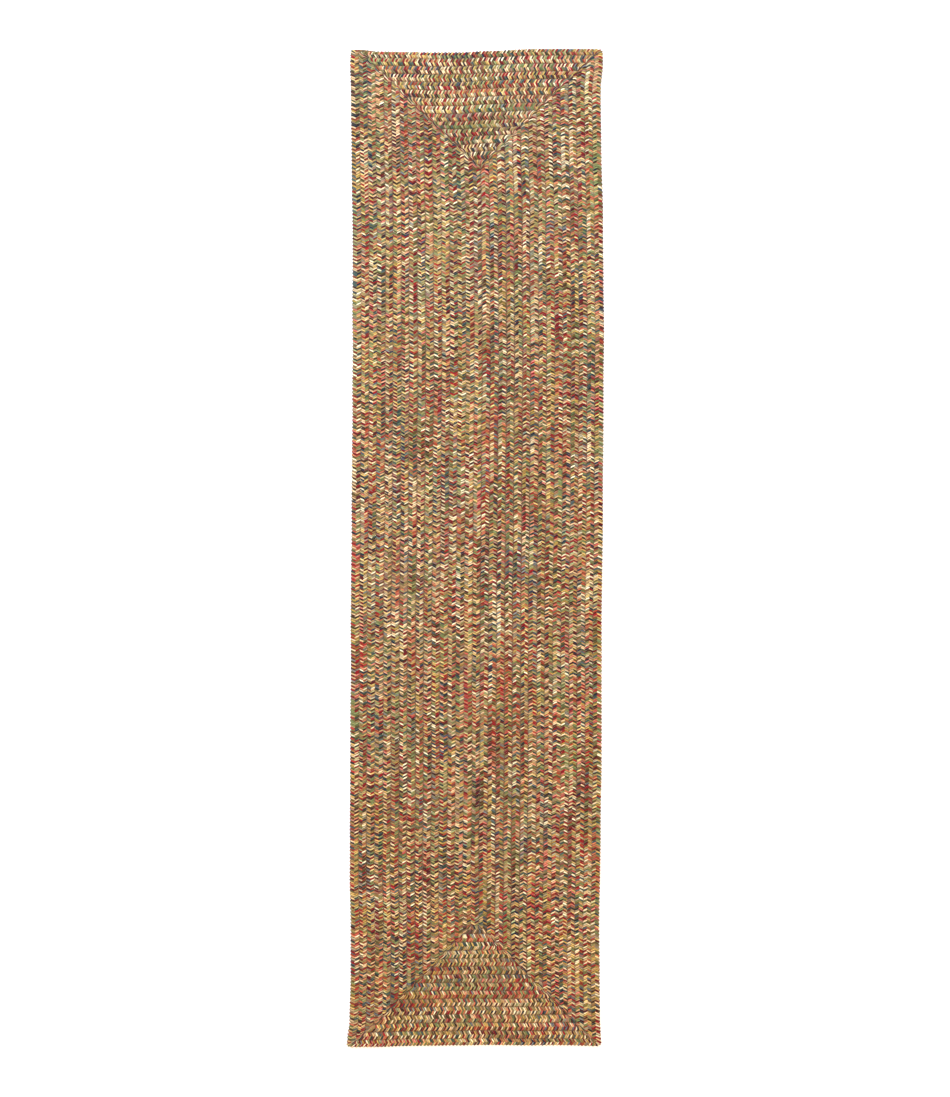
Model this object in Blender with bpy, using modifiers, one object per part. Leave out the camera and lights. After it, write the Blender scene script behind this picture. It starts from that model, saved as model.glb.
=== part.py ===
"""A braided rug: a 2 ft by 8 ft runner of one continuous braid, laid side against side in a spiral.

The braid starts in the middle column, runs up the rug, folds over, and winds clockwise with mitred corners
until its tail tapers away along the top edge at the top left corner. Each course is a rib on both faces, and
the grooves between the courses are the web that holds them together. +Y runs along the rug to its top end.
"""

from math import cos, radians, sin

import bmesh
import bpy
import numpy as np
from mathutils import Vector

# Driving dimensions, in metres
RUG_WIDTH = 0.614
RUG_LENGTH = 2.4384
THICKNESS = 0.011
WEB_THICKNESS = 0.005  # at the grooves between the courses
EDGE_BULGE = 0.0012  # how far the outermost course's side stands out at mid height
TURNS = 15  # rounds of the spiral about its middle column
LEGS_A_ROUND = 4
START_SLOPE = 0.006  # length over which the braid's first end rises to its full height
MOST_END_SIDES = 12  # the open end of the first course has fewer sides, and the rug's outline has more

BRAIDS_ACROSS = 2 * TURNS + 1
COURSE = (RUG_WIDTH - 2 * EDGE_BULGE) / BRAIDS_ACROSS
FOLD_Y = RUG_LENGTH / 2 - EDGE_BULGE - (TURNS - 0.5) * COURSE  # centre line of the first, tight fold
START_Y = -RUG_LENGTH / 2 + EDGE_BULGE + TURNS * COURSE  # the braid starts here, at the first bottom row

# Cross-section of the upper half of one course: offset from the centre line as a share of the course's
# width, and height above the mid plane as a share of half the thickness
WEB_SHARE = WEB_THICKNESS / THICKNESS
SECTION = (
    # offset, height
    (-0.50, WEB_SHARE),
    (-0.37, 0.83),
    (-0.18, 1.00),
    (0.18, 1.00),
    (0.37, 0.83),
    (0.50, WEB_SHARE),
)

# The tail past the top left corner, in course widths: how far along the top edge, and how wide it still is
TAIL = (
    # reach, width
    (0.60, 0.24),
    (1.25, 0.17),
    (2.00, 0.00),
)
CORNER_RISE = 0.25  # of a course, by which the braid's last end stands over the top row at the corner
CORNER_ANGLES = (0, 30, 60, 90)  # degrees through which each outside corner of the rug turns

# How far the rows stand further up than even courses would, at shares of the length from the bottom end
ROW_SHIFT = (
    # share, shift
    (0.000, 0.0000),
    (0.008, -0.0045),
    (0.105, -0.0045),
    (0.162, 0.0000),
    (0.838, 0.0000),
    (0.895, 0.0108),
    (0.951, 0.0070),
    (0.992, 0.0050),
    (1.000, 0.0000),
)

# How far the sides stray outwards from a true rectangle, at shares of the length from the bottom end
SIDE_STRAY = (
    # share, left side, right side
    (0.000, 0.0130, -0.0010),
    (0.010, 0.0100, -0.0035),
    (0.026, 0.0050, -0.0055),
    (0.076, 0.0025, -0.0065),
    (0.126, 0.0025, -0.0070),
    (0.177, 0.0045, -0.0042),
    (0.277, 0.0035, -0.0015),
    (0.428, 0.0020, -0.0012),
    (0.528, 0.0000, 0.0022),
    (0.700, -0.0025, 0.0045),
    (0.830, -0.0025, 0.0025),
    (0.904, 0.0000, -0.0012),
    (0.960, 0.0015, -0.0024),
    (0.985, 0.0025, 0.0025),
    (1.000, 0.0015, 0.0025),
)

# How far the ends stray outwards, at shares of the width from the left side
END_STRAY = (
    # share, bottom end, top end
    (0.00, 0.0040, -0.0010),
    (0.10, 0.0032, -0.0010),
    (0.25, 0.0010, -0.0022),
    (0.32, 0.0006, -0.0038),
    (0.43, -0.0008, -0.0034),
    (0.54, -0.0014, 0.0006),
    (0.72, 0.0000, 0.0048),
    (0.86, -0.0008, 0.0050),
    (1.00, 0.0016, 0.0048),
)

YARN_COLOUR = (0.406, 0.255, 0.140, 1.0)
YARN_ROUGHNESS = 0.9
SMOOTH_ANGLE = radians(50)
WELD = 0.00001


def clear_scene():
    for thing in list(bpy.data.objects):
        bpy.data.objects.remove(thing)


def spiral_corners():
    """Centre-line corners of the braid, from its start in the middle to the end of its last course."""
    corners = [(0, START_Y), (0, FOLD_Y)]
    for turn in range(1, TURNS + 1):
        side = turn * COURSE
        top = FOLD_Y + (turn - 1) * COURSE
        bottom = START_Y - (turn - 0.5) * COURSE
        corners += [(side, top), (side, bottom), (-side, bottom), (-side, top + COURSE)]
    return [Vector(corner) for corner in corners]


def left_of(direction):
    return Vector((-direction.y, direction.x))


def section_points(place):
    """The course's section as points: place turns an offset into a point of the plan."""
    points = []
    for offset, height in SECTION:
        flat = place(offset * COURSE)
        points.append(Vector((flat.x, flat.y, height * THICKNESS / 2)))
    return points


def start_station(corner, direction):
    """The braid's first end, which slopes up from the groove beside the first bottom row."""
    points = section_points(lambda offset: corner + offset * left_of(direction))
    for point, (_, height) in zip(points, SECTION):
        point.y += START_SLOPE * (height - WEB_SHARE) / (1 - WEB_SHARE)
    return points


def mitre_station(corner, before, after):
    return section_points(lambda offset: corner + offset * (left_of(before) + left_of(after)))


def round_station(corner, before, after, angle):
    """One step of an outside corner: mitred inside the centre line, and turned about it outside."""

    def place(offset):
        if offset < 0:
            return corner + offset * (left_of(before) + left_of(after))
        return corner + offset * (cos(angle) * left_of(before) + sin(angle) * left_of(after))

    return section_points(place)


def tail_stations(corner):
    """The last course's end at the top left corner, and the tail that tapers away along the top edge."""
    inner = corner + Vector((COURSE / 2, -COURSE / 2))

    def end_of_course(offset):
        share = offset / COURSE + 0.5
        return inner + share * Vector((-COURSE, CORNER_RISE * COURSE))

    stations = [section_points(end_of_course)]
    for reach, width in TAIL:
        foot = inner + Vector((reach * COURSE, 0))

        def across(offset, foot=foot, width=width):
            return foot + Vector((0, (offset / COURSE + 0.5) * width * COURSE))

        station = section_points(across)
        if width == 0:
            for point in station:
                point.z = WEB_THICKNESS / 2
        stations.append(station)
    return stations


def stations_along(corners):
    """Each leg of the spiral as the stations it runs through, with a note of whether it is a row."""
    directions = [(b - a).normalized() for a, b in zip(corners, corners[1:])]
    legs = []
    station = start_station(corners[0], directions[0])
    for index, direction in enumerate(directions[:-1]):
        corner, after = corners[index + 1], directions[index + 1]
        is_row = abs(direction.x) > 0.5
        if index >= len(directions) - LEGS_A_ROUND:  # the last round's corners are the rug's own
            turn = [round_station(corner, direction, after, radians(angle)) for angle in CORNER_ANGLES]
            half = len(turn) // 2
            legs.append((is_row, [station, turn[0]]))
            legs.append((is_row, turn[:half + 1]))
            legs.append((not is_row, turn[half:]))
            station = turn[-1]
        else:
            mitre = mitre_station(corner, direction, after)
            legs.append((is_row, [station, mitre]))
            station = mitre
    tail = tail_stations(corners[-1])
    legs.append((False, [station, tail[0]]))
    legs.append((True, tail))
    return legs


def sweep_section(shell, row_mark, is_row, stations):
    """Extrudes the section from station to station."""
    line = [shell.verts.new(point) for point in stations[0]]
    edges = [shell.edges.new(pair) for pair in zip(line, line[1:])]
    for station in stations[1:]:
        made = bmesh.ops.extrude_edge_only(shell, edges=edges)["geom"]
        fresh = set(item for item in made if isinstance(item, bmesh.types.BMVert))
        following = [next(e.other_vert(v) for e in v.link_edges if e.other_vert(v) in fresh) for v in line]
        for vert, point in zip(following, station):
            vert.co = point
        for item in made:
            if isinstance(item, bmesh.types.BMFace):
                item[row_mark] = int(is_row)
        line = following
        edges = [shell.edges.get(pair) for pair in zip(line, line[1:])]


def cut_across(shell, row_mark, is_row, axis, level):
    """Cuts the rows, or the columns, where the outline has a point, so that they can bend there."""
    faces = [face for face in shell.faces if face[row_mark] == int(is_row)]
    geometry = set(faces)
    for face in faces:
        geometry.update(face.edges)
        geometry.update(face.verts)
    normal = Vector((1, 0, 0)) if axis == 0 else Vector((0, 1, 0))
    bmesh.ops.bisect_plane(shell, geom=list(geometry), plane_co=normal * level, plane_no=normal, dist=WELD)


def stray(point):
    """Moves a point of the true rectangle to its place in the uneven rug."""
    shares, shift = zip(*ROW_SHIFT)
    point.y += np.interp(point.y / RUG_LENGTH + 0.5, shares, shift)
    along = point.y / RUG_LENGTH + 0.5
    across = point.x / RUG_WIDTH + 0.5
    shares, left, right = zip(*SIDE_STRAY)
    left, right = np.interp(along, shares, left), np.interp(along, shares, right)
    shares, bottom, top = zip(*END_STRAY)
    bottom, top = np.interp(across, shares, bottom), np.interp(across, shares, top)
    clamped = min(max(across, 0), 1), min(max(along, 0), 1)
    point.x += clamped[0] * right - (1 - clamped[0]) * left
    point.y += clamped[1] * top - (1 - clamped[1]) * bottom


def upper_half():
    """The rug's upper half, as a skin that is open at the mid plane."""
    shell = bmesh.new()
    row_mark = shell.faces.layers.int.new("row")
    for is_row, stations in stations_along(spiral_corners()):
        sweep_section(shell, row_mark, is_row, stations)
    for reach, _ in TAIL:
        cut_across(shell, row_mark, True, 0, (reach - TURNS + 0.5) * COURSE)
    for share, *_ in SIDE_STRAY[1:-1]:
        cut_across(shell, row_mark, False, 1, (share - 0.5) * RUG_LENGTH)
    for share, *_ in END_STRAY[1:-1]:
        cut_across(shell, row_mark, True, 0, (share - 0.5) * RUG_WIDTH)
    bmesh.ops.remove_doubles(shell, verts=shell.verts, dist=WELD)
    open_edges = [edge for edge in shell.edges if edge.is_boundary]
    bmesh.ops.holes_fill(shell, edges=open_edges, sides=MOST_END_SIDES)
    outline = [edge for edge in shell.edges if edge.is_boundary]
    made = bmesh.ops.extrude_edge_only(shell, edges=outline)["geom"]
    rim = [item for item in made if isinstance(item, bmesh.types.BMVert)]
    outwards = Vector((1 + 2 * EDGE_BULGE / RUG_WIDTH, 1 + 2 * EDGE_BULGE / RUG_LENGTH, 0))
    bmesh.ops.scale(shell, vec=outwards, verts=rim)
    for vert in shell.verts:
        stray(vert.co)
    bmesh.ops.recalc_face_normals(shell, faces=shell.faces)
    return shell


def centre_plan(shell):
    """Puts the middle of the plan at the origin."""
    for axis in (0, 1):
        reach = [vert.co[axis] for vert in shell.verts]
        shift = Vector((0, 0, 0))
        shift[axis] = -(min(reach) + max(reach)) / 2
        bmesh.ops.translate(shell, vec=shift, verts=shell.verts)


def yarn_material():
    material = bpy.data.materials.new("multicolour_yarn")
    material.use_nodes = True
    shader = material.node_tree.nodes["Principled BSDF"]
    shader.inputs["Base Color"].default_value = YARN_COLOUR
    shader.inputs["Roughness"].default_value = YARN_ROUGHNESS
    shader.inputs["Metallic"].default_value = 0.0
    return material


def add_rug(collection):
    shell = upper_half()
    centre_plan(shell)
    mesh = bpy.data.meshes.new("braided_rug")
    shell.to_mesh(mesh)
    shell.free()
    mesh.shade_smooth()
    mesh.set_sharp_from_angle(angle=SMOOTH_ANGLE)
    mesh.materials.append(yarn_material())
    rug = bpy.data.objects.new("braided_rug", mesh)
    rug.location.z = THICKNESS / 2
    collection.objects.link(rug)
    both_faces = rug.modifiers.new("both_faces", "MIRROR")
    both_faces.use_axis = (False, False, True)
    both_faces.merge_threshold = WELD
    return rug


def main():
    clear_scene()
    collection = bpy.data.collections.new("braided_rug")
    bpy.context.scene.collection.children.link(collection)
    add_rug(collection)


main()
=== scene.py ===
from math import cos, pi, sin, sqrt

import bmesh
import bpy
import numpy as np
from mathutils import Matrix, Vector


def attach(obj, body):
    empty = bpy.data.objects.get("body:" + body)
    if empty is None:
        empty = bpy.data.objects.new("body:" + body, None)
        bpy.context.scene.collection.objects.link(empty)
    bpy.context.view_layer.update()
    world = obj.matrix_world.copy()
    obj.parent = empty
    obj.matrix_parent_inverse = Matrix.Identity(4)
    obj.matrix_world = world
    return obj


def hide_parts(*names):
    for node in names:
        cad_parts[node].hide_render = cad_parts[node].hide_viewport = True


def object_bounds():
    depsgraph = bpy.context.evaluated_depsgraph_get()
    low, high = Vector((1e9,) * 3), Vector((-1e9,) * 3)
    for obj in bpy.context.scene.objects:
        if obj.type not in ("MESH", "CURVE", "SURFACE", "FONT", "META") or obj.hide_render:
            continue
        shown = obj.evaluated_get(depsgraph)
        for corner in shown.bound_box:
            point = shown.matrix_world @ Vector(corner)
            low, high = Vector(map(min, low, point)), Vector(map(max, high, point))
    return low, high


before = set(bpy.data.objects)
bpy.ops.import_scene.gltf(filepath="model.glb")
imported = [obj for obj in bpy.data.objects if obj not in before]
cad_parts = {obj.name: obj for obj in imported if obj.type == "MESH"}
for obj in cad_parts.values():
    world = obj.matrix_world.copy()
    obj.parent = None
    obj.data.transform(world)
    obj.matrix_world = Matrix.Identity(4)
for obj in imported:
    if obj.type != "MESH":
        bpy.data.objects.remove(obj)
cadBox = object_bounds()
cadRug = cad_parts["braided_rug"]
samePlace = 0.00001    # points closer than this are one
print("frame loaded")


# ---- the rug's plan: one braid, wound clockwise from the middle column ----

rug = {
    "width": 0.614,
    "length": 2.4384,
    "thickness": cadBox[1].z,
    "turns": 15,            # rounds about the middle column
    "edgeBulge": 0.0012,    # the sides stand out this far at mid height
    "cornerEase": 0.014,    # the braid starts to lean this far before a corner
    "easeSteps": 12,
    "cornerTurn": 1.1,      # how much faster it leans close to the corner
    "cornerCrowd": 0.4,     # and lies denser there by this share
    "slack": 0.18,          # of a course: legs along the sides are narrower by up to this
    "slackSeed": 5,
    "endSlack": 0.10,       # and legs along the ends by this
    "outermostLegs": 4,     # these have no slack, so the rug keeps its outline
    "outlineSteps": 20000,  # places on the way, where the outline is measured
    "endRise": 0.25,        # of a course: how far the last end stands over the top row
    "tail": (               # reach past the corner and width, in courses, and fullness
        (0.60, 0.24, 0.95),
        (1.25, 0.17, 0.80),
        (2.00, 0.05, 0.55),
    ),
    "firstEnd": 0.012,      # the first end swells to its full height over this length
    "firstHeight": 0.6,     # from this share of it
}
course = (rug["width"] - 2 * rug["edgeBulge"]) / (2 * rug["turns"] + 1)
foldY = rug["length"] / 2 - rug["edgeBulge"] - (rug["turns"] - 0.5) * course
startY = -rug["length"] / 2 + rug["edgeBulge"] + rug["turns"] * course

# How far the outline strays outwards from a true rectangle
sideStray = (
    # share of the length from the bottom, left side, right side
    (0.000, 0.0130, -0.0010),
    (0.010, 0.0100, -0.0035),
    (0.026, 0.0050, -0.0055),
    (0.076, 0.0025, -0.0065),
    (0.126, 0.0025, -0.0070),
    (0.177, 0.0045, -0.0042),
    (0.277, 0.0035, -0.0015),
    (0.428, 0.0020, -0.0012),
    (0.528, 0.0000, 0.0022),
    (0.700, -0.0025, 0.0045),
    (0.830, -0.0025, 0.0025),
    (0.904, 0.0000, -0.0012),
    (0.960, 0.0015, -0.0024),
    (0.985, 0.0025, 0.0025),
    (1.000, 0.0015, 0.0025),
)
endStray = (
    # share of the width from the left, bottom end, top end
    (0.00, 0.0040, -0.0010),
    (0.10, 0.0032, -0.0010),
    (0.25, 0.0010, -0.0022),
    (0.32, 0.0006, -0.0038),
    (0.43, -0.0008, -0.0034),
    (0.54, -0.0014, 0.0006),
    (0.72, 0.0000, 0.0048),
    (0.86, -0.0008, 0.0050),
    (1.00, 0.0016, 0.0048),
)
rowShift = (
    # share of the length from the bottom, how far the rows stand further up than even courses would
    (0.000, 0.0000),
    (0.008, -0.0045),
    (0.105, -0.0045),
    (0.162, 0.0000),
    (0.838, 0.0000),
    (0.895, 0.0108),
    (0.951, 0.0070),
    (0.992, 0.0050),
    (1.000, 0.0000),
)


def spiralCorners():
    corners = [(0, startY), (0, foldY)]
    for turn in range(1, rug["turns"] + 1):
        side = turn * course
        top = foldY + (turn - 1) * course
        bottom = startY - (turn - 0.5) * course
        corners += [(side, top), (side, bottom), (-side, bottom), (-side, top + course)]
    # the last course ends a little above the top row
    corners[-1] = (-side, top + course * (1 + rug["endRise"]) / 2)
    return [Vector(corner) for corner in corners]


def leftOf(direction):
    return Vector((-direction.y, direction.x))


# How much narrower than a course each leg is, as a share
def legSlacks(legs):
    alongEnd = [abs(end.x - begin.x) > abs(end.y - begin.y) for begin, end in legs]
    sideSlacks = rug["slack"] * np.random.default_rng(rug["slackSeed"]).uniform(0, 1, len(legs))
    slacks = np.where(alongEnd, rug["endSlack"], sideSlacks)
    slacks[-rug["outermostLegs"]:] = 0
    return slacks.tolist()


# How far a leg leans forward at a place, from -1 just after a corner to 1 just before the next
def leanAt(reach, length, ease, first, last):
    lean = (rug["endRise"] if last else 1) * max(1 - (length - reach) / ease, 0) ** rug["cornerTurn"]
    if not first:
        lean -= max(1 - reach / ease, 0) ** rug["cornerTurn"]
    return lean


# Both edges of the braid along its way, sampled closely where it leans into a corner
def braidEdges(corners):
    rows, done, joints = [], 0.0, [0.0]
    legs = list(zip(corners, corners[1:]))
    for number, ((begin, end), slack) in enumerate(zip(legs, legSlacks(legs))):
        direction, length = (end - begin).normalized(), (end - begin).length
        ease = min(rug["cornerEase"], length)
        close = np.linspace(0, ease, rug["easeSteps"] + 1)
        first, last = number == 0, number == len(legs) - 1
        for reach in np.unique(np.round(np.concatenate([close, length - close]), 7)).tolist():
            crowded = min(reach, ease) * (not first) + max(reach - length + ease, 0) * (not last)
            along = reach + rug["cornerCrowd"] * crowded
            loose = slack * min(reach, length - reach, ease) / ease
            lean = leanAt(reach, length, ease, first, last)
            half = (leftOf(direction) * (1 - loose) + lean * direction) * course / 2
            middle = begin + direction * reach
            swell = min(reach / rug["firstEnd"], 1) if first else 1
            full = rug["firstHeight"] + (1 - rug["firstHeight"]) * swell
            rows.append((done + along, *(middle - half), *(middle + half), full))
        done += length + rug["cornerCrowd"] * ease * ((not first) + (not last))
        joints.append(done)
    inner = Vector(rows[-1][1:3])
    for reach, width, full in rug["tail"]:
        foot = inner + Vector((reach * course, 0))
        rows.append((done + reach * course, *foot, foot.x, foot.y + width * course, full))
    return np.array(rows).T, joints, rows[-1][0]


corners = spiralCorners()
edges, cornerPlaces, braidLength = braidEdges(corners)
print(f"braid is {braidLength:.1f} m long, in {len(corners) - 1} legs")


# Interpolates a table of stations and values with soft turns
def eased(at, stations, values):
    stations, values = np.array(stations), np.array(values)
    index = np.clip(np.searchsorted(stations, at) - 1, 0, len(stations) - 2)
    share = np.clip((at - stations[index]) / (stations[index + 1] - stations[index]), 0, 1)
    share = share * share * (3 - 2 * share)
    return values[index] * (1 - share) + values[index + 1] * share


# The rug's own outside corners are round: the corner's square is drawn in to a quarter disc
def roundOutside(x, y):
    sideX = rug["turns"] * course
    topY = foldY + (rug["turns"] - 1) * course
    bottomY = startY - (rug["turns"] - 0.5) * course
    for signX, signY, middleY in ((1, 1, topY), (1, -1, bottomY), (-1, -1, bottomY)):
        outX, outY = signX * x - sideX, signY * (y - middleY)
        there = (outX > 0) & (outY > 0)
        reach = np.maximum(np.hypot(outX, outY), samePlace)
        draw = np.where(there, np.maximum(outX, outY) / reach, 1.0)
        x = np.where(there, signX * (sideX + outX * draw), x)
        y = np.where(there, middleY + signY * outY * draw, y)
    return x, y


handmade = {
    "seed": 7,
    "planWander": 0.0005,         # the courses wander sideways by about this much
    "planWaves": 10,
    "planRates": (8, 60),         # radians a metre
    "pitchWander": 0.0016,        # the plaits are looser and tighter by turns
    "pitchWaves": 8,
    "pitchLengths": (0.15, 1.2),
    "fullPitchLength": 0.4,       # shorter waves are weaker
    "heightLoss": 0.05,           # of the thickness, where the braid lies thinner
}
dice = np.random.default_rng(handmade["seed"])
planWaves = [
    (dice.uniform(*handmade["planRates"]), dice.uniform(0, 2 * pi), dice.uniform(0, 2 * pi))
    for _ in range(handmade["planWaves"])
]
pitchWaves = [
    (dice.uniform(*handmade["pitchLengths"]), dice.uniform(0, 2 * pi))
    for _ in range(handmade["pitchWaves"])
]


# A smooth unevenness over the plan, of about 1 either way; each value of turned gives another one
def wander(x, y, turned):
    total = 0.0
    for rate, heading, phase in planWaves:
        total = total + np.sin(rate * (x * np.cos(heading + turned) + y * np.sin(heading + turned)) + phase)
    return total / sqrt(len(planWaves))


def pitchDrift(along):
    total = 0.0
    for wave, phase in pitchWaves:
        strength = min(wave / handmade["fullPitchLength"], 1)
        total = total + np.sin(2 * pi * along / wave + phase) * strength
    return total * handmade["pitchWander"] / sqrt(len(pitchWaves))


# Takes a point of the even plan to the real rug's uneven one
def strayed(x, y):
    y = y + eased(y / rug["length"] + 0.5, *zip(*rowShift))
    along, across = y / rug["length"] + 0.5, x / rug["width"] + 0.5
    shares, left, right = zip(*sideStray)
    left, right = eased(along, shares, left), eased(along, shares, right)
    shares, bottom, top = zip(*endStray)
    bottom, top = eased(across, shares, bottom), eased(across, shares, top)
    across, along = np.clip(across, 0, 1), np.clip(along, 0, 1)
    x = x + across * right - (1 - across) * left
    y = y + along * top - (1 - along) * bottom
    return x, y


# The plan is centred by its outline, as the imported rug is
def planCentre():
    along = np.linspace(0, braidLength, rug["outlineSteps"])
    x, y = (np.interp(along, edges[0], row) for row in edges[3:5])
    x, y = strayed(*roundOutside(x, y))
    return (x.min() + x.max()) / 2, (y.min() + y.max()) / 2


centreX, centreY = planCentre()


# Takes a point of the straight braid to its place in the rug
def wound(across, along, up):
    along = along + pitchDrift(along)
    share = across / course + 0.5
    where = [np.interp(along, edges[0], row) for row in edges[1:]]
    x = where[0] * (1 - share) + where[2] * share
    y = where[1] * (1 - share) + where[3] * share
    x, y = roundOutside(x, y)
    thin = 1 - handmade["heightLoss"] * (0.5 + 0.5 * np.tanh(wander(x, y, 2.0)))
    z = rug["thickness"] / 2 + up * where[4] * thin
    x, y = x + handmade["planWander"] * wander(x, y, 0.0), y + handmade["planWander"] * wander(x, y, 1.0)
    x, y = strayed(x, y)
    return x - centreX, y - centreY, z


# ---- shader nodes as expressions ----

class Wire:
    def __init__(self, tree, socket=None):
        self.tree, self.socket = tree, socket

    # Adds a node: its settings first, then the values or links of its sockets
    def add(self, kind, settings=None, sockets=None, out=0):
        node = self.tree.nodes.new(kind)
        for name, value in (settings or {}).items():
            if name == "stops":
                self.fillRamp(node.color_ramp, value)
            else:
                setattr(node, name, value)
        for name, value in (sockets or {}).items():
            if isinstance(value, Wire):
                self.tree.links.new(value.socket, node.inputs[name])
            else:
                node.inputs[name].default_value = value
        return Wire(self.tree, node.outputs[out])

    def fillRamp(self, ramp, stops):
        ramp.interpolation = "CONSTANT"
        while len(ramp.elements) > 1:
            ramp.elements.remove(ramp.elements[-1])
        for number, (place, colour) in enumerate(stops):
            stop = ramp.elements[0] if number == 0 else ramp.elements.new(place)
            stop.position = place
            stop.color = (*colour, 1)

    def math(self, operation, *others):
        sockets = dict(enumerate((self, *others)))
        return self.add("ShaderNodeMath", {"operation": operation}, sockets)

    def other(self, name):
        return Wire(self.tree, self.socket.node.outputs[name])

    def __add__(self, other):
        return self.math("ADD", other)

    def __radd__(self, other):
        return self.math("ADD", other)

    def __sub__(self, other):
        return self.math("SUBTRACT", other)

    def __rsub__(self, other):
        return self.add("ShaderNodeMath", {"operation": "SUBTRACT"}, {0: other, 1: self})

    def __mul__(self, other):
        return self.math("MULTIPLY", other)

    def __rmul__(self, other):
        return self.math("MULTIPLY", other)

    def __truediv__(self, other):
        return self.math("DIVIDE", other)

    def __lt__(self, other):
        return self.math("LESS_THAN", other)


def newMaterial(name, fixed):
    material = bpy.data.materials.new(name)
    material.use_nodes = True
    shader = material.node_tree.nodes["Principled BSDF"]
    for socket, value in fixed.items():
        shader.inputs[socket].default_value = value
    return material, Wire(material.node_tree), shader


def screen(red, green, blue):
    return tuple(((c / 255 + 0.055) / 1.055) ** 2.4 for c in (red, green, blue))


# ---- yarn ----

yarn = {
    "plies": 6,                # in each strand
    "roll": 0.8,               # of a ply: how far the plies roll to and fro about the strand
    "rollRun": 0.35,           # over this length
    "legStart": 0.75,          # of a leg: where the strand is deepest below the others
    "plyRun": 9,               # legs of the braid over which one ply keeps its colour, about
    "plyRunVaries": 0.6,       # more or less by this share
    "strandRun": 14,           # legs over which a face of a strand keeps its leading colour
    "leadingShare": 0.14,      # of the plies that take the leading colour
    "bestTone": 1.20,          # the lightest ply of a colour
    "plyTone": 0.93,           # and the darkest one is this much darker
    "paleShare": 0.22,         # of pale fibres in the lightest ply
    "pairRun": 8,              # a light ply lies beside a dark one, and they change after these legs
    "pairRunVaries": 0.3,      # more or less by this share
    "pairFreedom": 0.5,        # how far their colours stray from that
    "slubTone": 0.5,           # how much the tone varies along a ply
    "slubScale": 45,           # this often a metre
    "heather": 0.5,            # how much fibres of one ply differ
    "heatherScale": (160, 3),  # this often a metre along the ply, and across it
    "creaseShade": 0.55,       # painted shade: darker by this much in the crease between two plies
    "creaseNarrow": 1.5,       # the painted crease shade is the narrower, the higher this is
    "twist": 0.0026,           # along a ply, from one of its twisted threads to the next
    "twistSlope": 1.1,         # threads that lie side by side across a ply
    "twistShade": 0.22,        # painted shade: darker by this much in the groove between two threads
    "twistDepth": 0.3,         # of the ply's height
    "hairDepth": 0.25,         # of the ply's height
    "hairScale": (500, 9),     # this often a metre along the ply, and across it
    "bumpDepth": 0.0014,
    "roughness": (0.8, 0.96),
}
yarnColours = {    # share and colour, from dark to light
    "darkRed": (5, screen(130, 20, 22)),
    "navy": (4, screen(42, 66, 92)),
    "brown": (4, screen(108, 60, 28)),
    "plum": (2, screen(118, 44, 56)),
    "crimson": (13, screen(198, 16, 28)),
    "slate": (5, screen(74, 106, 92)),
    "blueGrey": (3, screen(92, 112, 110)),
    "olive": (8, screen(122, 102, 42)),
    "rust": (6, screen(198, 78, 38)),
    "sage": (9, screen(146, 160, 92)),
    "coral": (7, screen(232, 134, 88)),
    "khaki": (9, screen(178, 166, 96)),
    "tan": (12, screen(210, 164, 98)),
    "gold": (11, screen(220, 180, 82)),
    "sand": (11, screen(242, 202, 146)),
    "cream": (10, screen(248, 232, 182)),
}
paleFibre = screen(252, 240, 198)


def colourStops():
    total = sum(share for share, _ in yarnColours.values())
    stops, place = [], 0.0
    for share, colour in yarnColours.values():
        stops.append((place, colour))
        place += share / total
    return stops


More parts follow.
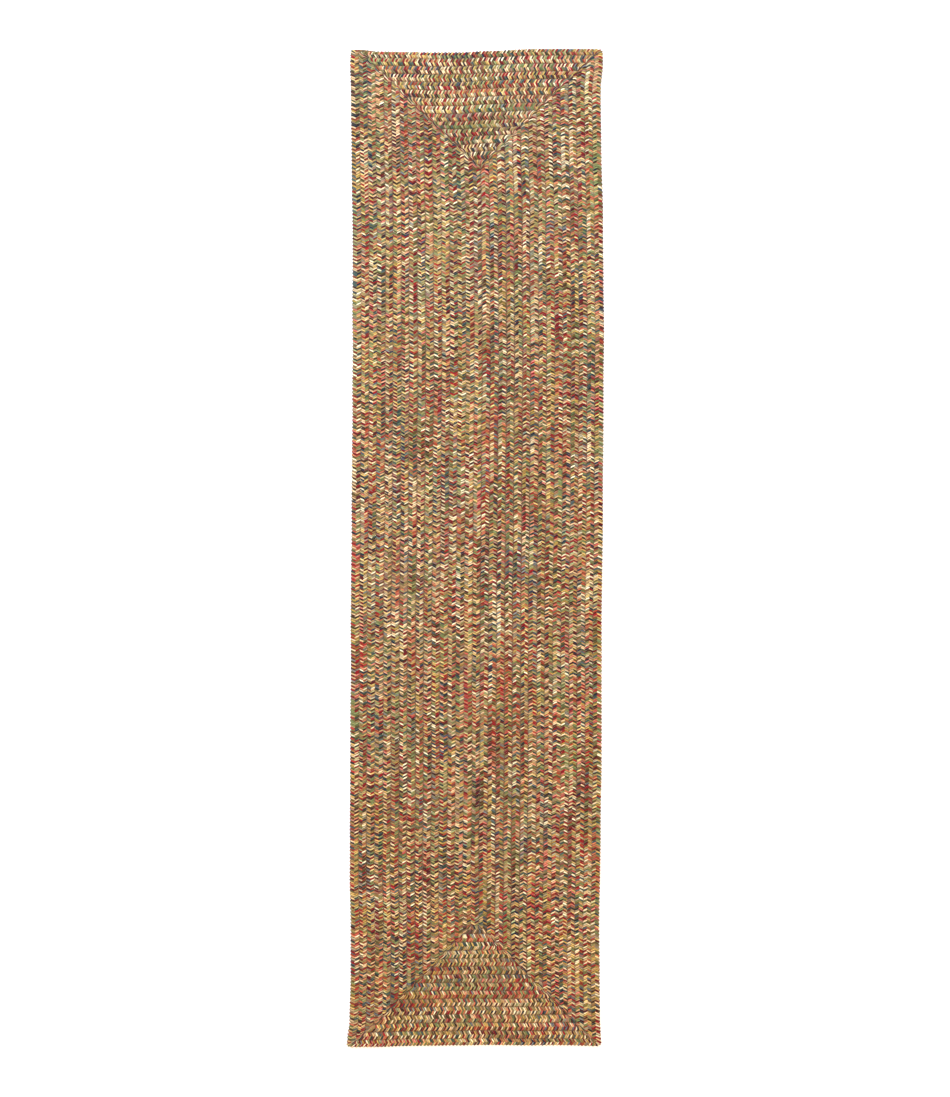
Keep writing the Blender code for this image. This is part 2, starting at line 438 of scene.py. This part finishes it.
# The colours follow the yarn map, which has metres along the strand and shares of a turn around it
def yarnMaterial(cellRun):
    fixed = {"Metallic": 0.0, "Sheen Weight": 0.15, "Sheen Roughness": 0.5, "Specular IOR Level": 0.3}
    material, sheet, shader = newMaterial("multicolourYarn", fixed)
    place = sheet.add("ShaderNodeUVMap", {"uv_map": "yarn"})
    along = sheet.add("ShaderNodeSeparateXYZ", {}, {0: place})
    around = along.other("Y")

    def noiseOf(x, y, z, detail):
        at = sheet.add("ShaderNodeCombineXYZ", {}, {0: x, 1: y, 2: z})
        return sheet.add("ShaderNodeTexNoise", {}, {"Vector": at, "Scale": 1.0, "Detail": detail})

    # a die's value depends on its keys alone, and the plain numbers among them tell the dice apart
    def dieOf(a, b, c):
        key = sheet.add("ShaderNodeCombineXYZ", {}, {0: a, 1: b, 2: c})
        return sheet.add("ShaderNodeTexWhiteNoise", {"noise_dimensions": "3D"}, {"Vector": key})

    # numbers the runs of legs, which vary in length and begin at other places for each ply or pair
    def runAt(leg, run, varies, die, begun):
        return (leg / run * (1 - varies + 2 * varies * die) + begun).math("FLOOR")

    rolled = noiseOf(along / yarn["rollRun"], 0.5, 0.5, 0.0) - 0.5
    lay = around * yarn["plies"] + rolled * yarn["roll"]
    edge = lay.math("FLOOR")
    ply = edge.math("FLOORED_MODULO", yarn["plies"])
    across = lay - edge - 0.5

    # a leg begins and ends below the other strands, so no colour changes in sight
    leg = (along / cellRun * 2 - yarn["legStart"]).math("FLOOR")
    begun = dieOf(ply, 1.5, 0.5) * 9
    run = runAt(leg, yarn["plyRun"], yarn["plyRunVaries"], dieOf(ply, 0.5, 0.5), begun)
    face = ply < yarn["plies"] / 2
    lead = (leg / yarn["strandRun"] + face * 0.4).math("FLOOR")
    # two plies make a pair, one as light as the other is dark
    pair = ((ply + 1) / 2).math("FLOOR").math("FLOORED_MODULO", yarn["plies"] / 2)
    pairRun = runAt(leg, yarn["pairRun"], yarn["pairRunVaries"], dieOf(pair, 7.5, 0.5), pair * 0.37)
    second = ply.math("FLOORED_MODULO", 2)
    rank = dieOf(pairRun, pair, 8.5)
    rank = rank + (1 - rank * 2) * second
    stray = (dieOf(run, ply, 1.5) - 0.5) * yarn["pairFreedom"]
    own, leading = (rank + stray).math("FLOORED_MODULO", 1), dieOf(lead, face, 2.5)
    follows = dieOf(run, ply, 3.5) < yarn["leadingShare"]
    pick = own + (leading - own) * follows
    dyed = sheet.add("ShaderNodeValToRGB", {"stops": colourStops()}, {0: pick})
    light = (rank + (dieOf(run, ply, 4.5) - 0.5) * yarn["pairFreedom"]).math("MINIMUM", 1).math("MAXIMUM", 0)
    pale = (light * 2 - 1) * yarn["paleShare"]
    colour = sheet.add("ShaderNodeMix", {"data_type": "RGBA"}, {0: pale, 6: dyed, 7: (*paleFibre, 1)}, out=2)

    heatherAlong, heatherAcross = yarn["heatherScale"]
    hairAlong, hairAcross = yarn["hairScale"]
    heather = noiseOf(along * heatherAlong, lay * heatherAcross, ply, 2.0)
    fibre = noiseOf(along * hairAlong, lay * hairAcross, ply, 2.0)
    slub = noiseOf(along * yarn["slubScale"], ply * 7.0, 0.5, 0.0)    # unlike in each ply
    # painted shade: the mask of the crease between two plies, where shade would fall
    crease = (across * across * 4).math("POWER", yarn["creaseNarrow"])
    # the grooves between twisted threads: a bump, and a mask of painted shade
    thread = (along / yarn["twist"] + across * yarn["twistSlope"]).math("FRACT") - 0.5
    groove = thread * thread * 4
    tone = (yarn["bestTone"] - (1 - light) * yarn["plyTone"]) * (1 + (slub - 0.5) * yarn["slubTone"] * 2)
    tone = tone * (1 + (heather - 0.5) * yarn["heather"])
    # painted shade in the creases between plies and in the grooves between threads
    tone = tone * (1 - crease * yarn["creaseShade"]) * (1 - groove * yarn["twistShade"])
    shaded = sheet.add("ShaderNodeVectorMath", {"operation": "SCALE"}, {0: colour, "Scale": tone})
    height = 1 - across * across * 4 - groove * yarn["twistDepth"] + fibre * yarn["hairDepth"]
    bump = sheet.add("ShaderNodeBump", {}, {"Strength": 1.0, "Distance": yarn["bumpDepth"], "Height": height})
    least, most = yarn["roughness"]
    rough = least + fibre * (most - least)
    links = material.node_tree.links
    links.new(shaded.socket, shader.inputs["Base Color"])
    links.new(rough.socket, shader.inputs["Roughness"])
    links.new(bump.socket, shader.inputs["Normal"])
    return material


# ---- the braid ----

braid = {
    "strands": 3,
    "plait": 0.0256,        # along the braid until a strand is back on its side
    "stations": 8,          # steps of a strand over one plait
    "sides": 6,
    "strandWidth": 0.0084,
    "strandThickness": 0.0062,
    "squeeze": 0.0024,      # its strands reach this far into the next course
    "straightness": 0.07,   # of the swing: makes a leg run straighter from the middle to the edge
    "linger": 0.15,         # and a strand go slower along the middle than along the edges
    "strandApart": 4500,    # plaits in the yarn map, so that no two strands share their colours
}
bake = {
    "stripWidth": 0.023,    # round a strand
    "apart": 0.08,          # of a strip, between two strips
    "capRadius": 0.3,       # of a strip: a cut end
}


# Where a strand of the straight braid is at a phase of its plait, and which way it heads
def strandPlace(phase):
    low, slow = braid["straightness"], braid["linger"]
    swing = (course / 2 + braid["squeeze"] - braid["strandThickness"] / 2) / (1 + low)
    lift = (rug["thickness"] - braid["strandThickness"]) / 2
    pace = braid["plait"] / (2 * pi)
    place = Vector((
        swing * (sin(phase) - low * sin(3 * phase)),
        pace * (phase - slow / 2 * sin(2 * phase)),
        lift * sin(2 * phase),
    ))
    ahead = Vector((
        swing * (cos(phase) - 3 * low * cos(3 * phase)),
        pace * (1 - slow * cos(2 * phase)),
        2 * lift * cos(2 * phase),
    ))
    return place, ahead.normalized()


# The strand is broader than thick, and rolls over the braid's edge with its broad side out
def strandFrame(step):
    place, ahead = strandPlace(2 * pi * step / braid["stations"])
    outward = Vector((-ahead.z, 0, ahead.x)).normalized()
    broad = ahead.cross(outward)
    columns = (broad * braid["strandWidth"] / 2, outward * braid["strandThickness"] / 2, -ahead, place)
    axes = Matrix([column.to_4d() for column in columns]).transposed()
    axes[3] = (0, 0, 0, 1)
    return axes, place


# Puts a shell's points, edges and faces in the same order in every run
def putInOrder(shell):
    def placeOf(vert):
        return vert.co[:]

    def cornersOf(item):
        return sorted(vert.index for vert in item.verts)

    for items, keyOf in ((shell.verts, placeOf), (shell.edges, cornersOf), (shell.faces, cornersOf)):
        rank = {item: number for number, item in enumerate(sorted(items, key=keyOf))}
        items.sort(key=rank.get)
        items.index_update()


# One plait of all strands. Its map has metres along the strand and shares of a turn around it.
def plaitCell():
    cell = bmesh.new()
    yarnMap = cell.loops.layers.uv.new("yarn")
    turned = cell.verts.layers.float.new("turned")
    gone = cell.verts.layers.float.new("gone")
    run = 0.0
    now, place = strandFrame(0)
    ring = bmesh.ops.create_circle(cell, segments=braid["sides"], radius=1, matrix=now)["verts"]
    for number, vert in enumerate(ring):
        vert[turned] = number / braid["sides"]
    rim = cell.edges[:]
    for step in range(1, braid["stations"] + 1):
        then, nextPlace = strandFrame(step)
        run += (nextPlace - place).length
        made = bmesh.ops.extrude_edge_only(cell, edges=rim)["geom"]
        fresh = {item for item in made if isinstance(item, bmesh.types.BMVert)}
        bmesh.ops.transform(cell, matrix=then @ now.inverted(), verts=list(fresh))
        for vert in fresh:
            vert[gone] = step
        rim = [item for item in made if isinstance(item, bmesh.types.BMEdge) and set(item.verts) <= fresh]
        now, place = then, nextPlace
    for face in cell.faces:
        closing = max(vert[turned] for vert in face.verts) > 0.5
        for loop in face.loops:
            around = loop.vert[turned]
            along = run * loop.vert[gone] / braid["stations"]
            loop[yarnMap].uv = (along, 1 if closing and around == 0 else around)
    strand = list(cell.faces)
    for number in range(1, braid["strands"]):
        made = bmesh.ops.duplicate(cell, geom=strand)["geom"]
        later = [item for item in made if isinstance(item, bmesh.types.BMVert)]
        bmesh.ops.translate(cell, vec=(0, braid["plait"] * number / braid["strands"], 0), verts=later)
        for face in made:
            if isinstance(face, bmesh.types.BMFace):
                for loop in face.loops:
                    loop[yarnMap].uv.x += number * braid["strandApart"] * run
    bmesh.ops.triangulate(cell, faces=cell.faces, quad_method="SHORT_EDGE")
    bmesh.ops.recalc_face_normals(cell, faces=cell.faces)
    for name in ("turned", "gone"):
        cell.verts.layers.float.remove(cell.verts.layers.float[name])
    putInOrder(cell)
    mesh = bpy.data.meshes.new("plaitCell")
    cell.to_mesh(mesh)
    cell.free()
    return mesh, run


def finished(name, mesh, material):
    piece = bpy.data.objects.new(name, mesh)
    bpy.context.scene.collection.objects.link(piece)
    mesh.materials.clear()
    mesh.materials.append(material)
    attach(piece, "root")
    return piece


def placesOf(mesh):
    flat = np.empty(len(mesh.vertices) * 3, np.float32)
    mesh.vertices.foreach_get("co", flat)
    return flat.reshape(-1, 3).astype(float).T


def setPlaces(mesh, x, y, z):
    mesh.vertices.foreach_set("co", np.stack([x, y, z], 1).astype(np.float32).ravel())
    mesh.update()


# Cells of one mesh, one after another along the straight braid
def straightRow(cellMesh, cellLength, cellRun, cells):
    source = bpy.data.objects.new("straight", cellMesh)
    bpy.context.scene.collection.objects.link(source)
    repeat = source.modifiers.new("repeat", "ARRAY")
    repeat.count = cells
    repeat.use_relative_offset = False
    repeat.use_constant_offset = True
    repeat.constant_offset_displace = (0, cellLength, 0)
    repeat.use_merge_vertices = True
    repeat.merge_threshold = samePlace
    repeat.offset_u = cellRun
    evaluated = source.evaluated_get(bpy.context.evaluated_depsgraph_get())
    shell = bmesh.new()
    shell.from_mesh(evaluated.to_mesh())
    bpy.data.objects.remove(source)
    return shell


# The strands of a stretch as strips, one above another, and its cut ends in the top strip
def addBakeMap(mesh, strandBegin, strandRun, apart):
    yarnPlaces = np.empty(len(mesh.loops) * 2)
    mesh.uv_layers["yarn"].data.foreach_get("uv", yarnPlaces)
    along, around = yarnPlaces.reshape(-1, 2).T
    strand = np.floor((along + 1) / apart)    # the first strand starts a little below 0
    along = along - strand * apart - strandBegin + strand * strandRun
    starts = np.empty(len(mesh.polygons), np.int32)
    mesh.polygons.foreach_get("loop_start", starts)
    isSide = np.empty(len(mesh.polygons), bool)
    mesh.polygons.foreach_get("use_smooth", isSide)
    sizes = np.diff(np.append(starts, len(along)))
    face = np.repeat(np.arange(len(starts)), sizes)
    first = np.minimum.reduceat(along, starts)
    longest = (np.maximum.reduceat(along, starts) - first)[isSide].max()
    rows = round(sqrt(braid["strands"] * strandRun / bake["stripWidth"]))
    rowLength = braid["strands"] * strandRun / rows
    row = np.maximum(np.floor(first / rowLength), 0)[face]
    x = np.clip((along - row * rowLength) / (rowLength + longest), 0, 1)
    y = row + 0.5 + (around - 0.5) * (1 - bake["apart"])
    turn = 2 * pi * (np.arange(len(along)) - starts[face]) / sizes[face]
    ends = np.cumsum(~isSide)[face] - 0.5
    endX = (ends + bake["capRadius"] * np.cos(turn)) / max(np.count_nonzero(~isSide), rows)
    endY = rows + 0.5 + bake["capRadius"] * np.sin(turn)
    x = np.where(isSide[face], x, endX)
    y = np.where(isSide[face], y, endY) / (rows + 1)
    bakeMap = mesh.uv_layers.new(name="OFBake")
    bakeMap.data.foreach_set("uv", np.stack([x, y], 1).ravel())


# A stretch of the braid; its strands end one after another, as they start in the next stretch
def braidStretch(name, cellMesh, cellRun, begin, end, material, cellsBefore):
    cells = max(1, round((end - begin) / braid["plait"]))
    first, last = begin == 0, end == braidLength
    shell = straightRow(cellMesh, braid["plait"], cellRun, cells + first)
    length = cells * braid["plait"]
    if first:
        bmesh.ops.translate(shell, vec=(0, -braid["plait"], 0), verts=shell.verts)
    for cut, needed, side in ((0, first, -1), (length, last, 1)):
        if needed:
            bmesh.ops.bisect_plane(
                shell, geom=shell.verts[:] + shell.edges[:] + shell.faces[:],
                plane_co=(0, cut, 0), plane_no=(0, side, 0), clear_outer=True,
            )
    openEdges = [edge for edge in shell.edges if edge.is_boundary]
    caps = bmesh.ops.holes_fill(shell, edges=openEdges, sides=0)["faces"]
    bmesh.ops.recalc_face_normals(shell, faces=shell.faces)
    yarnMap = shell.loops.layers.uv["yarn"]
    for face in shell.faces:
        face.smooth = True
        for loop in face.loops:
            loop[yarnMap].uv.x += (cellsBefore - first) * cellRun
    for edge in openEdges:
        edge.smooth = False
    for cap in caps:
        cap.smooth = False
    mesh = bpy.data.meshes.new(name)
    shell.to_mesh(mesh)
    shell.free()
    apart = braid["strandApart"] * cellRun
    addBakeMap(mesh, (cellsBefore - first) * cellRun, (cells + first) * cellRun, apart)
    across, along, up = placesOf(mesh)
    setPlaces(mesh, *wound(across, begin + along * (end - begin) / length, up))
    return finished(name, mesh, material), cells


def layBraid():
    cellMesh, cellRun = plaitCell()
    material = yarnMaterial(cellRun)
    # cut halfway along the legs at the ends, so the stretches lie right and left by turns
    cuts = [0.0]
    for number in range(4, len(cornerPlaces) - 1, 2):
        cuts.append((cornerPlaces[number - 1] + cornerPlaces[number]) / 2)
    cuts.append(braidLength)
    pieces, done = [], 0
    for number, (begin, end) in enumerate(zip(cuts, cuts[1:])):
        side = "Right" if number % 2 == 0 else "Left"
        name = f"braid{side}{number // 2 + 1:02d}"
        piece, cells = braidStretch(name, cellMesh, cellRun, begin, end, material, done)
        pieces.append(piece)
        done += cells
    print(f"{len(pieces)} stretches of braid, {done} plaits of {cellRun * 1000:.1f} mm of strand")
    return pieces


# ---- the thread that laces the courses together ----

lacing = {
    "stitch": 0.0171,     # along the groove, over and back
    "reach": 0.0032,      # into the course on either side
    "radius": 0.0007,
    "sides": 3,
    "endGap": 0.03,       # it ends this far before the last corner
    "colour": screen(176, 146, 100),
}


def laceCourses():
    cell = bmesh.new()
    upright = Matrix.Translation((-lacing["reach"], 0, 0)) @ Matrix.Rotation(pi / 2, 4, "X")
    ring = bmesh.ops.create_circle(
        cell, segments=lacing["sides"], radius=lacing["radius"], matrix=upright,
    )["verts"]
    rim = cell.edges[:]
    for side in (1, -1):
        made = bmesh.ops.extrude_edge_only(cell, edges=rim)["geom"]
        fresh = {item for item in made if isinstance(item, bmesh.types.BMVert)}
        step = (side * 2 * lacing["reach"], lacing["stitch"] / 2, 0)
        bmesh.ops.translate(cell, vec=step, verts=list(fresh))
        rim = [item for item in made if isinstance(item, bmesh.types.BMEdge) and set(item.verts) <= fresh]
    putInOrder(cell)
    mesh = bpy.data.meshes.new("stitch")
    cell.to_mesh(mesh)
    cell.free()
    begin, end = cornerPlaces[1], cornerPlaces[-1] - lacing["endGap"]
    stitches = round((end - begin) / lacing["stitch"])
    shell = straightRow(mesh, lacing["stitch"], 0, stitches)
    bmesh.ops.holes_fill(shell, edges=[edge for edge in shell.edges if edge.is_boundary], sides=0)
    bmesh.ops.recalc_face_normals(shell, faces=shell.faces)
    mesh = bpy.data.meshes.new("lacingThread")
    shell.to_mesh(mesh)
    shell.free()
    mesh.shade_smooth()
    across, along, up = placesOf(mesh)
    share = (end - begin) / (stitches * lacing["stitch"])
    setPlaces(mesh, *wound(across - course / 2, begin + along * share, up))
    material, _, _ = newMaterial("lacingThread", {"Base Color": (*lacing["colour"], 1), "Roughness": 0.6})
    print(f"{stitches} stitches")
    return finished("lacingThread", mesh, material)


# ---- the core between the strands ----

core = {
    "thickness": 0.3,  # of the rug's
    "inset": 0.0035,   # from the rug's edge
    "colour": screen(112, 84, 58),
}


def layCore():
    mesh = cadRug.data.copy()
    shell = bmesh.new()
    shell.from_mesh(mesh)
    bmesh.ops.remove_doubles(shell, verts=shell.verts, dist=samePlace)
    narrower, shorter = 1 - 2 * core["inset"] / rug["width"], 1 - 2 * core["inset"] / rug["length"]
    shrink = (narrower, shorter, core["thickness"])
    middle = Matrix.Translation((0, 0, -rug["thickness"] / 2))
    bmesh.ops.scale(shell, vec=shrink, space=middle, verts=shell.verts)
    shell.to_mesh(mesh)
    shell.free()
    material, _, _ = newMaterial("innerYarn", {"Base Color": (*core["colour"], 1), "Roughness": 0.95})
    piece = finished("rugCore", mesh, material)
    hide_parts("braided_rug")
    return piece


# ---- studio ----

studio = {
    "frameHeight": 1097,         # pixels of the picture
    "metresPerPixel": 0.002449,
    "lens": 85,                  # millimetres, as the sensor
    "sensor": 36,
    "clipEnd": 50,
    "lookX": -0.0005,            # the camera is above this place
    "lookY": -0.0012,
    "roomLight": 0.585,
    "floorSize": 12,             # from the middle to a side
    "floorGap": 0.0003,
    "floorTone": 0.9,
    "floorGlow": 0.35,           # keeps the rug's shadow faint
}
lamps = {    # place, size, power and colour
    "keyLight": ((-0.6, 2.6, 3.0), 3.0, 192, (0.91, 1.0, 1.22)),
    "fillLight": ((0.8, -2.4, 3.0), 3.0, 66, (1.38, 0.80, 0.36)),
}


def addCamera():
    lens = bpy.data.cameras.new("camera")
    lens.lens, lens.sensor_width = studio["lens"], studio["sensor"]
    lens.clip_end = studio["clipEnd"]
    camera = bpy.data.objects.new("camera", lens)
    tall = studio["frameHeight"] * studio["metresPerPixel"]
    distance = tall * studio["lens"] / studio["sensor"]
    camera.location = (studio["lookX"], studio["lookY"], distance + rug["thickness"])
    bpy.context.scene.collection.objects.link(camera)
    bpy.context.scene.camera = camera


def addLights():
    world = bpy.data.worlds.new("studio")
    world.use_nodes = True
    background = world.node_tree.nodes["Background"]
    background.inputs["Color"].default_value = (1, 1, 1, 1)
    background.inputs["Strength"].default_value = studio["roomLight"]
    bpy.context.scene.world = world
    bpy.context.scene.view_settings.view_transform = "Standard"
    for name, (place, size, power, colour) in lamps.items():
        lamp = bpy.data.lights.new(name, "AREA")
        lamp.size, lamp.energy, lamp.color = size, power, colour
        lampObject = bpy.data.objects.new(name, lamp)
        lampObject.location = place
        lampObject.rotation_euler = (-Vector(place)).to_track_quat("-Z", "Y").to_euler()
        bpy.context.scene.collection.objects.link(lampObject)


def addFloor():
    ground = bmesh.new()
    bmesh.ops.create_grid(ground, x_segments=1, y_segments=1, size=studio["floorSize"])
    bmesh.ops.translate(ground, vec=(0, 0, -studio["floorGap"]), verts=ground.verts)
    mesh = bpy.data.meshes.new("floor")
    ground.to_mesh(mesh)
    ground.free()
    material, _, _ = newMaterial("paleFloor", {
        "Base Color": (*[studio["floorTone"]] * 3, 1), "Roughness": 0.9,
        "Emission Color": (1, 1, 1, 1), "Emission Strength": studio["floorGlow"],
    })
    mesh.materials.append(material)
    floor = bpy.data.objects.new("floor", mesh)
    bpy.context.scene.collection.objects.link(floor)


addCamera()
addLights()
addFloor()
print("studio ready")
stretches = layBraid()
thread = laceCourses()
coreSheet = layCore()
print("rug laid")
